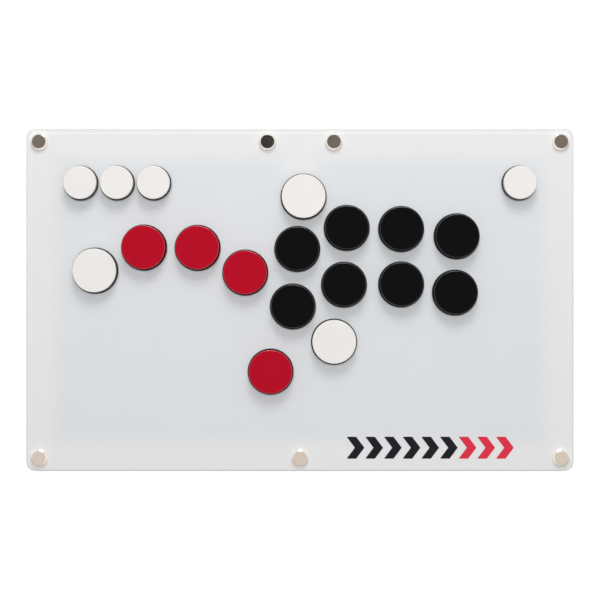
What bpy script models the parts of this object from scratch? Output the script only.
"""A leverless arcade controller: an acrylic case that carries nineteen sprung push buttons.

The origin is at the middle of the plane that the feet stand on. +X points to the player's right,
+Y away from the player and +Z up. Every length is in metres.
"""

import math
from collections import namedtuple

import bmesh
import bpy

# The case: a base plate, a hollow side frame and a top plate, held together by cap screws.
CASE_WIDTH = 0.400
CASE_DEPTH = 0.250
CASE_HEIGHT = 0.040
CORNER_RADIUS = 0.0065
TOP_THICKNESS = 0.005
BASE_THICKNESS = 0.004
WALL_WIDTH = 0.022
INNER_CORNER_RADIUS = 0.0026
SEAM = 0.0003
FOOT_HEIGHT = 0.003

# Heights that follow from the stack.
TOP_FACE = CASE_HEIGHT
TOP_UNDERSIDE = TOP_FACE - TOP_THICKNESS
BASE_UNDERSIDE = FOOT_HEIGHT + SEAM
BASE_FACE = BASE_UNDERSIDE + BASE_THICKNESS
FRAME_BOTTOM = BASE_FACE + SEAM
FRAME_TOP = TOP_UNDERSIDE - SEAM
FRAME_HEIGHT = FRAME_TOP - FRAME_BOTTOM

# Cap screws: a low head with a wide 45 degree chamfer, and no drive on its flat top.
SCREW_INSET = 0.0098
MIDDLE_SCREW_X = 0.0242
MIDDLE_SCREW_SHIFT = 0.0005
SCREW_HOLE_RADIUS = 0.0024
SHANK_RADIUS = 0.0020
HEAD_RADIUS = 0.0063
HEAD_BEVEL = 0.0013
HEAD_BEVEL_DROP = 0.00075
HEAD_HEIGHT = 0.0026
SCREW_SIDES = 16

# Buttons. Heights are counted from the top plate's upper face.
BUTTON_SIDES = 16
TRAVEL = 0.0025
COLLAR_TOP = 0.0043
COLLAR_FLOOR = 0.0013
CAP_TOP = 0.0095
CAP_STOP_GAP = 0.0002
CAP_UNDERSIDE = COLLAR_FLOOR + TRAVEL + CAP_STOP_GAP
CAP_CEILING = 0.0075
SLIDE_GAP = 0.0003
SKIRT_GAP = 0.0004
SKIRT_WALL = 0.0014
SKIRT_BOTTOM = -0.0080
BARREL_GAP = 0.0004
BARREL_WALL = 0.0018
BARREL_FLOOR = -0.0130
BARREL_BOTTOM = -0.0145
POST_RADIUS = 0.0029
POST_BOTTOM = -0.0155
POST_BORE_RADIUS = 0.0033
POST_BORE_BOTTOM = -0.0190
SWITCH_WIDTH = 0.0139
SWITCH_TOP = -0.0138
SWITCH_BOTTOM = -0.0226

# Circuit board, its spacers and the square data socket behind it.
BOARD_WIDTH = 0.090
BOARD_FRONT = 0.034
BOARD_REAR = 0.096
BOARD_THICKNESS = 0.0016
BOARD_HOLE_RADIUS = 0.0016
BOARD_HOLE_INSET = 0.005
SPACER_RADIUS = 0.0030
SPACER_HEIGHT = 0.005
BOSS_WIDTH = 0.024
BOSS_FRONT = 0.0965
SOCKET_WIDTH = 0.0120
SOCKET_HEIGHT = 0.0110
SOCKET_FRONT = 0.092
SOCKET_REAR = CASE_DEPTH / 2 - 0.0005
SOCKET_MOUTH_WIDTH = 0.0086
SOCKET_MOUTH_HEIGHT = 0.0080
SOCKET_MOUTH_DEPTH = 0.0090
WINDOW_GAP = 0.0003
BOARD_BOTTOM = BASE_FACE + SPACER_HEIGHT + 2 * SEAM
BOARD_TOP = BOARD_BOTTOM + BOARD_THICKNESS
SOCKET_CENTRE_Z = BOARD_TOP + 2 * SEAM + SOCKET_HEIGHT / 2

# Feet.
FOOT_RADIUS = 0.009
FOOT_TAPER = 0.001
FOOT_X = 0.170
FOOT_Y = 0.095

# How finely round shapes are made, and how close two points must be to become one.
CORNER_STEPS = 4
SPACER_SIDES = 12
SHARP_ANGLE = math.radians(35)
WELD_DISTANCE = 0.00001

# Radii of the two sizes of button: the hole in the top plate, the collar and the cap inside it.
ButtonSize = namedtuple("ButtonSize", "hole collar cap")
LARGE = ButtonSize(hole=0.0150, collar=0.0168, cap=0.0159)
SMALL = ButtonSize(hole=0.01125, collar=0.0127, cap=0.0120)

MENU_Y = 0.0849
MENU_X = 0.1595
MENU_PITCH = 0.0266

# Each button's name, size, cap colour and place on the top plate.
LAYOUT = [
    ("menu_1", SMALL, "white", -MENU_X, MENU_Y),
    ("menu_2", SMALL, "white", -MENU_X + MENU_PITCH, MENU_Y),
    ("menu_3", SMALL, "white", -MENU_X + 2 * MENU_PITCH, MENU_Y),
    ("home", SMALL, "white", MENU_X, MENU_Y),
    ("extra_left", LARGE, "white", -0.1491, 0.0212),
    ("extra_rear", LARGE, "white", 0.0026, 0.0750),
    ("extra_front", LARGE, "white", 0.0248, -0.0305),
    ("left", LARGE, "red", -0.1135, 0.0380),
    ("down", LARGE, "red", -0.0745, 0.0378),
    ("right", LARGE, "red", -0.0398, 0.0198),
    ("up", LARGE, "red", -0.0214, -0.0523),
    ("action_1", LARGE, "black", -0.0020, 0.0370),
    ("action_2", LARGE, "black", 0.0340, 0.0523),
    ("action_3", LARGE, "black", 0.0736, 0.0515),
    ("action_4", LARGE, "black", 0.1140, 0.0462),
    ("action_5", LARGE, "black", -0.0052, -0.0048),
    ("action_6", LARGE, "black", 0.0320, 0.0110),
    ("action_7", LARGE, "black", 0.0736, 0.0112),
    ("action_8", LARGE, "black", 0.1128, 0.0052),
]

# Red, green, blue, roughness and metallic of each material.
FINISHES = {
    "frosted_acrylic": (0.83, 0.85, 0.86, 0.25, 0.0),
    "polished_steel": (0.78, 0.76, 0.73, 0.12, 1.0),
    "collar_black": (0.012, 0.012, 0.013, 0.35, 0.0),
    "cap_white": (0.84, 0.82, 0.80, 0.40, 0.0),
    "cap_red": (0.50, 0.010, 0.020, 0.42, 0.0),
    "cap_black": (0.010, 0.010, 0.011, 0.42, 0.0),
    "board_green": (0.02, 0.14, 0.06, 0.45, 0.0),
    "socket_steel": (0.62, 0.62, 0.61, 0.30, 1.0),
    "spacer_nylon": (0.80, 0.79, 0.74, 0.50, 0.0),
    "foot_rubber": (0.020, 0.020, 0.021, 0.80, 0.0),
}


def clear_scene():
    """Remove every object that the new file starts with."""
    for obj in list(bpy.data.objects):
        bpy.data.objects.remove(obj, do_unlink=True)


def new_collection(name):
    """A collection linked to the scene."""
    collection = bpy.data.collections.new(name)
    bpy.context.scene.collection.children.link(collection)
    return collection


def new_material(name):
    """A Principled material with the colour and finish that FINISHES gives."""
    red, green, blue, roughness, metallic = FINISHES[name]
    material = bpy.data.materials.new(name)
    material.use_nodes = True
    shader = material.node_tree.nodes["Principled BSDF"]
    shader.inputs["Base Color"].default_value = (red, green, blue, 1.0)
    shader.inputs["Roughness"].default_value = roughness
    shader.inputs["Metallic"].default_value = metallic
    return material


def shade_round(mesh):
    """Smooth the round faces of a mesh and keep its edges sharp."""
    mesh.shade_smooth()
    mesh.set_sharp_from_angle(angle=SHARP_ANGLE)


def place(name, mesh, material, collection, location=(0, 0, 0), parent=None):
    """Put a mesh in the scene as a named object with its material."""
    obj = bpy.data.objects.new(name, mesh)
    collection.objects.link(obj)
    obj.location = location
    obj.parent = parent
    if not mesh.materials:
        mesh.materials.append(material)
    return obj


def evaluated_mesh(obj):
    """The mesh that an object's modifiers or curve make."""
    depsgraph = bpy.context.evaluated_depsgraph_get()
    return bpy.data.meshes.new_from_object(obj.evaluated_get(depsgraph))


def turned_mesh(name, profile, sides):
    """Turn a profile of (radius, height) points about Z; its outer side runs from top to bottom."""
    mesh = bpy.data.meshes.new(name)
    points = [(radius, 0, height) for radius, height in profile]
    edges = [(index, index + 1) for index in range(len(points) - 1)]
    mesh.from_pydata(points, edges, [])
    lathe = bpy.data.objects.new(name, mesh)
    bpy.context.scene.collection.objects.link(lathe)
    screw = lathe.modifiers.new("turn", "SCREW")
    screw.steps = sides
    screw.render_steps = sides
    screw.use_merge_vertices = True
    screw.merge_threshold = WELD_DISTANCE
    turned = evaluated_mesh(lathe)
    bpy.data.objects.remove(lathe, do_unlink=True)
    turned.name = name
    return turned


def box_mesh(name, low, high):
    """A box between two opposite corners."""
    mesh = bpy.data.meshes.new(name)
    box = bmesh.new()
    bmesh.ops.create_cube(box, size=1.0)
    for vert in box.verts:
        for axis in range(3):
            middle = (low[axis] + high[axis]) / 2
            vert.co[axis] = middle + vert.co[axis] * (high[axis] - low[axis])
    box.to_mesh(mesh)
    box.free()
    return mesh


def circle_outline(x, y, radius, sides):
    """Points round a circle, starting at +X like a turned piece's corners."""
    angles = [2 * math.pi * index / sides for index in range(sides)]
    return [(x + radius * math.cos(a), y + radius * math.sin(a)) for a in angles]


def filleted_outline(corners, radius):
    """A closed outline whose square corners are rounded with arcs of one radius."""
    points = []
    for index, (x, y) in enumerate(corners):
        before = corners[index - 1]
        after = corners[(index + 1) % len(corners)]
        towards_before = (math.copysign(radius, before[0] - x) if before[0] != x else 0.0,
                          math.copysign(radius, before[1] - y) if before[1] != y else 0.0)
        towards_after = (math.copysign(radius, after[0] - x) if after[0] != x else 0.0,
                         math.copysign(radius, after[1] - y) if after[1] != y else 0.0)
        for step in range(CORNER_STEPS + 1):
            turn = math.pi / 2 * step / CORNER_STEPS
            along_before = 1 - math.sin(turn)
            along_after = 1 - math.cos(turn)
            points.append((x + towards_before[0] * along_before + towards_after[0] * along_after,
                           y + towards_before[1] * along_before + towards_after[1] * along_after))
    return points


def rectangle(half_width, half_depth):
    """The corners of a rectangle about the origin, anticlockwise."""
    return [(half_width, half_depth), (-half_width, half_depth),
            (-half_width, -half_depth), (half_width, -half_depth)]


def plate_mesh(name, outlines, thickness):
    """A flat plate: the first outline is its edge and the others are holes. Its middle is at Z = 0."""
    curve = bpy.data.curves.new(name, "CURVE")
    curve.dimensions = "2D"
    curve.fill_mode = "BOTH"
    curve.extrude = thickness / 2
    for outline in outlines:
        spline = curve.splines.new("POLY")
        spline.points.add(len(outline) - 1)
        for point, (x, y) in zip(spline.points, outline):
            point.co = (x, y, 0, 1)
        spline.use_cyclic_u = True
    sheet = bpy.data.objects.new(name, curve)
    bpy.context.scene.collection.objects.link(sheet)
    mesh = evaluated_mesh(sheet)
    bpy.data.objects.remove(sheet, do_unlink=True)
    weld = bmesh.new()
    weld.from_mesh(mesh)
    bmesh.ops.remove_doubles(weld, verts=weld.verts, dist=WELD_DISTANCE)
    bmesh.ops.recalc_face_normals(weld, faces=weld.faces)
    weld.to_mesh(mesh)
    weld.free()
    mesh.name = name
    return mesh


def add_boolean(obj, tool, operation):
    """Join a tool to an object, or cut it out."""
    modifier = obj.modifiers.new(tool.name, "BOOLEAN")
    modifier.object = tool
    modifier.operation = operation
    modifier.solver = "EXACT"


def place_cutter(name, mesh, collection):
    """A tool for a Boolean, which is never a part itself."""
    cutter = bpy.data.objects.new(name, mesh)
    collection.objects.link(cutter)
    cutter.hide_render = True
    cutter.display_type = "WIRE"
    return cutter


def screw_places():
    """The name and place of each cap screw: a corner each, two at the rear and one at the front."""
    side_x = CASE_WIDTH / 2 - SCREW_INSET
    rear_y = CASE_DEPTH / 2 - SCREW_INSET
    return [
        ("rear_left", -side_x, rear_y),
        ("rear_middle_left", MIDDLE_SCREW_SHIFT - MIDDLE_SCREW_X, rear_y),
        ("rear_middle_right", MIDDLE_SCREW_SHIFT + MIDDLE_SCREW_X, rear_y),
        ("rear_right", side_x, rear_y),
        ("front_left", -side_x, -rear_y),
        ("front_middle", 0.0, -rear_y),
        ("front_right", side_x, -rear_y),
    ]


def corner_places(x, y, middle_y=0.0):
    """The name and place of four pieces set in a rectangle."""
    return [
        ("front_left", -x, middle_y - y),
        ("front_right", x, middle_y - y),
        ("rear_left", -x, middle_y + y),
        ("rear_right", x, middle_y + y),
    ]


def screw_holes():
    """The outlines of the holes that the cap screws pass through."""
    return [circle_outline(x, y, SCREW_HOLE_RADIUS, SCREW_SIDES) for _, x, y in screw_places()]


def case_outline():
    """The outline that all three layers of the case share."""
    return filleted_outline(rectangle(CASE_WIDTH / 2, CASE_DEPTH / 2), CORNER_RADIUS)


def make_base_plate(parts, material):
    """The lowest layer, with the screw holes."""
    mesh = plate_mesh("base_plate", [case_outline()] + screw_holes(), BASE_THICKNESS)
    place("base_plate", mesh, material, parts, (0, 0, BASE_UNDERSIDE + BASE_THICKNESS / 2))


def make_top_plate(parts, material):
    """The uppermost layer, with the screw holes and a hole for each button."""
    button_holes = [circle_outline(x, y, size.hole, BUTTON_SIDES) for _, size, _, x, y in LAYOUT]
    outlines = [case_outline()] + screw_holes() + button_holes
    mesh = plate_mesh("top_plate", outlines, TOP_THICKNESS)
    place("top_plate", mesh, material, parts, (0, 0, TOP_UNDERSIDE + TOP_THICKNESS / 2))


def make_side_frame(parts, cutters, material):
    """The hollow middle layer, with a boss at the rear that the data socket passes through."""
    inner_x = CASE_WIDTH / 2 - WALL_WIDTH
    inner_y = CASE_DEPTH / 2 - WALL_WIDTH
    half_boss = BOSS_WIDTH / 2
    inside = [
        (inner_x, inner_y), (half_boss, inner_y), (half_boss, BOSS_FRONT), (-half_boss, BOSS_FRONT),
        (-half_boss, inner_y), (-inner_x, inner_y), (-inner_x, -inner_y), (inner_x, -inner_y),
    ]
    hollow = filleted_outline(inside, INNER_CORNER_RADIUS)
    mesh = plate_mesh("side_frame", [case_outline(), hollow] + screw_holes(), FRAME_HEIGHT)
    frame = place("side_frame", mesh, material, parts, (0, 0, FRAME_BOTTOM + FRAME_HEIGHT / 2))
    half_width = SOCKET_WIDTH / 2 + WINDOW_GAP
    half_height = SOCKET_HEIGHT / 2 + WINDOW_GAP
    window = box_mesh("socket_window",
                      (-half_width, SOCKET_FRONT, SOCKET_CENTRE_Z - half_height),
                      (half_width, CASE_DEPTH, SOCKET_CENTRE_Z + half_height))
    add_boolean(frame, place_cutter("socket_window", window, cutters), "DIFFERENCE")


def make_screws(parts, material):
    """One cap screw through the three layers at each place; they share one mesh."""
    seat = TOP_FACE + SEAM
    profile = [
        (0, HEAD_HEIGHT),
        (HEAD_RADIUS - HEAD_BEVEL, HEAD_HEIGHT),
        (HEAD_RADIUS, HEAD_HEIGHT - HEAD_BEVEL_DROP),
        (HEAD_RADIUS, 0),
        (SHANK_RADIUS, 0),
        (SHANK_RADIUS, BASE_UNDERSIDE + SEAM - seat),
        (0, BASE_UNDERSIDE + SEAM - seat),
    ]
    mesh = turned_mesh("cap_screw", profile, SCREW_SIDES)
    shade_round(mesh)
    for name, x, y in screw_places():
        place("cap_screw_" + name, mesh, material, parts, (x, y, seat))


def make_feet(parts, material):
    """Four tapered rubber feet under the base plate."""
    profile = [(0, FOOT_HEIGHT), (FOOT_RADIUS, FOOT_HEIGHT), (FOOT_RADIUS - FOOT_TAPER, 0), (0, 0)]
    mesh = turned_mesh("foot", profile, SCREW_SIDES)
    shade_round(mesh)
    for name, x, y in corner_places(FOOT_X, FOOT_Y):
        place("foot_" + name, mesh, material, parts, (x, y, 0))


def make_board(parts, board_material, spacer_material):
    """The circuit board on four spacers that stand on the base plate."""
    middle_y = (BOARD_FRONT + BOARD_REAR) / 2
    half_depth = (BOARD_REAR - BOARD_FRONT) / 2
    edge = [(x, y + middle_y) for x, y in rectangle(BOARD_WIDTH / 2, half_depth)]
    corners = corner_places(BOARD_WIDTH / 2 - BOARD_HOLE_INSET, half_depth - BOARD_HOLE_INSET, middle_y)
    holes = [circle_outline(x, y, BOARD_HOLE_RADIUS, SPACER_SIDES) for _, x, y in corners]
    board = plate_mesh("circuit_board", [edge] + holes, BOARD_THICKNESS)
    place("circuit_board", board, board_material, parts, (0, 0, BOARD_BOTTOM + BOARD_THICKNESS / 2))
    profile = [(0, SPACER_HEIGHT), (SPACER_RADIUS, SPACER_HEIGHT), (SPACER_RADIUS, 0), (0, 0)]
    spacer = turned_mesh("board_spacer", profile, SPACER_SIDES)
    shade_round(spacer)
    for name, x, y in corners:
        place("board_spacer_" + name, spacer, spacer_material, parts, (x, y, BASE_FACE + SEAM))


def make_socket(parts, cutters, material):
    """The data socket, whose mouth opens at the rear and whose tail lies over the board's edge."""
    half_width = SOCKET_WIDTH / 2
    half_height = SOCKET_HEIGHT / 2
    shell = box_mesh("usb_socket", (-half_width, SOCKET_FRONT, -half_height),
                     (half_width, SOCKET_REAR, half_height))
    socket = place("usb_socket", shell, material, parts, (0, 0, SOCKET_CENTRE_Z))
    half_mouth = SOCKET_MOUTH_WIDTH / 2
    mouth = box_mesh("socket_mouth",
                     (-half_mouth, SOCKET_REAR - SOCKET_MOUTH_DEPTH,
                      SOCKET_CENTRE_Z - SOCKET_MOUTH_HEIGHT / 2),
                     (half_mouth, CASE_DEPTH, SOCKET_CENTRE_Z + SOCKET_MOUTH_HEIGHT / 2))
    add_boolean(socket, place_cutter("socket_mouth", mouth, cutters), "DIFFERENCE")


def cap_mesh(size):
    """A button's cap: a disc that sinks in the collar, a guide skirt and a post for the switch."""
    skirt_radius = size.hole - BARREL_GAP - BARREL_WALL - SKIRT_GAP
    profile = [
        (0, CAP_TOP),
        (size.cap, CAP_TOP),
        (size.cap, CAP_UNDERSIDE),
        (skirt_radius, CAP_UNDERSIDE),
        (skirt_radius, SKIRT_BOTTOM),
        (skirt_radius - SKIRT_WALL, SKIRT_BOTTOM),
        (skirt_radius - SKIRT_WALL, CAP_CEILING),
        (POST_RADIUS, CAP_CEILING),
        (POST_RADIUS, POST_BOTTOM),
        (0, POST_BOTTOM),
    ]
    mesh = turned_mesh("cap", profile, BUTTON_SIDES)
    shade_round(mesh)
    return mesh


def housing_mesh(size):
    """A button's housing: collar, barrel and the square switch clipped under its floor."""
    barrel_radius = size.hole - BARREL_GAP
    bore_radius = barrel_radius - BARREL_WALL
    profile = [
        (0, BARREL_FLOOR),
        (bore_radius, BARREL_FLOOR),
        (bore_radius, COLLAR_FLOOR),
        (size.cap + SLIDE_GAP, COLLAR_FLOOR),
        (size.cap + SLIDE_GAP, COLLAR_TOP),
        (size.collar, COLLAR_TOP),
        (size.collar, SEAM),
        (barrel_radius, SEAM),
        (barrel_radius, BARREL_BOTTOM),
        (0, BARREL_BOTTOM),
    ]
    barrel = bpy.data.objects.new("barrel", turned_mesh("barrel", profile, BUTTON_SIDES))
    half = SWITCH_WIDTH / 2
    switch = bpy.data.objects.new("switch", box_mesh("switch", (-half, -half, SWITCH_BOTTOM),
                                                     (half, half, SWITCH_TOP)))
    bore_profile = [(0, BARREL_FLOOR / 2), (POST_BORE_RADIUS, BARREL_FLOOR / 2),
                    (POST_BORE_RADIUS, POST_BORE_BOTTOM), (0, POST_BORE_BOTTOM)]
    bore = bpy.data.objects.new("post_bore", turned_mesh("post_bore", bore_profile, BUTTON_SIDES))
    tools = [barrel, switch, bore]
    for tool in tools:
        bpy.context.scene.collection.objects.link(tool)
    add_boolean(barrel, switch, "UNION")
    add_boolean(barrel, bore, "DIFFERENCE")
    mesh = evaluated_mesh(barrel)
    for tool in tools:
        bpy.data.objects.remove(tool, do_unlink=True)
    mesh.name = "housing"
    shade_round(mesh)
    return mesh


def make_buttons(parts, materials):
    """Every button: an empty on its axis at the top plate's face, with its housing and its cap."""
    housings = {size: housing_mesh(size) for size in (LARGE, SMALL)}
    caps = {}
    for name, size, colour, x, y in LAYOUT:
        centre = bpy.data.objects.new("button_" + name, None)
        parts.objects.link(centre)
        centre.location = (x, y, TOP_FACE)
        centre.empty_display_size = size.hole
        if (size, colour) not in caps:
            caps[size, colour] = cap_mesh(size)
        place("housing_" + name, housings[size], materials["collar_black"], parts, parent=centre)
        place("cap_" + name, caps[size, colour], materials["cap_" + colour], parts, parent=centre)


def main():
    """Build the whole controller."""
    clear_scene()
    parts = new_collection("leverless_controller")
    cutters = new_collection("cutters")
    materials = {name: new_material(name) for name in FINISHES}
    make_base_plate(parts, materials["frosted_acrylic"])
    make_side_frame(parts, cutters, materials["frosted_acrylic"])
    make_top_plate(parts, materials["frosted_acrylic"])
    make_screws(parts, materials["polished_steel"])
    make_feet(parts, materials["foot_rubber"])
    make_board(parts, materials["board_green"], materials["spacer_nylon"])
    make_socket(parts, cutters, materials["socket_steel"])
    make_buttons(parts, materials)


main()
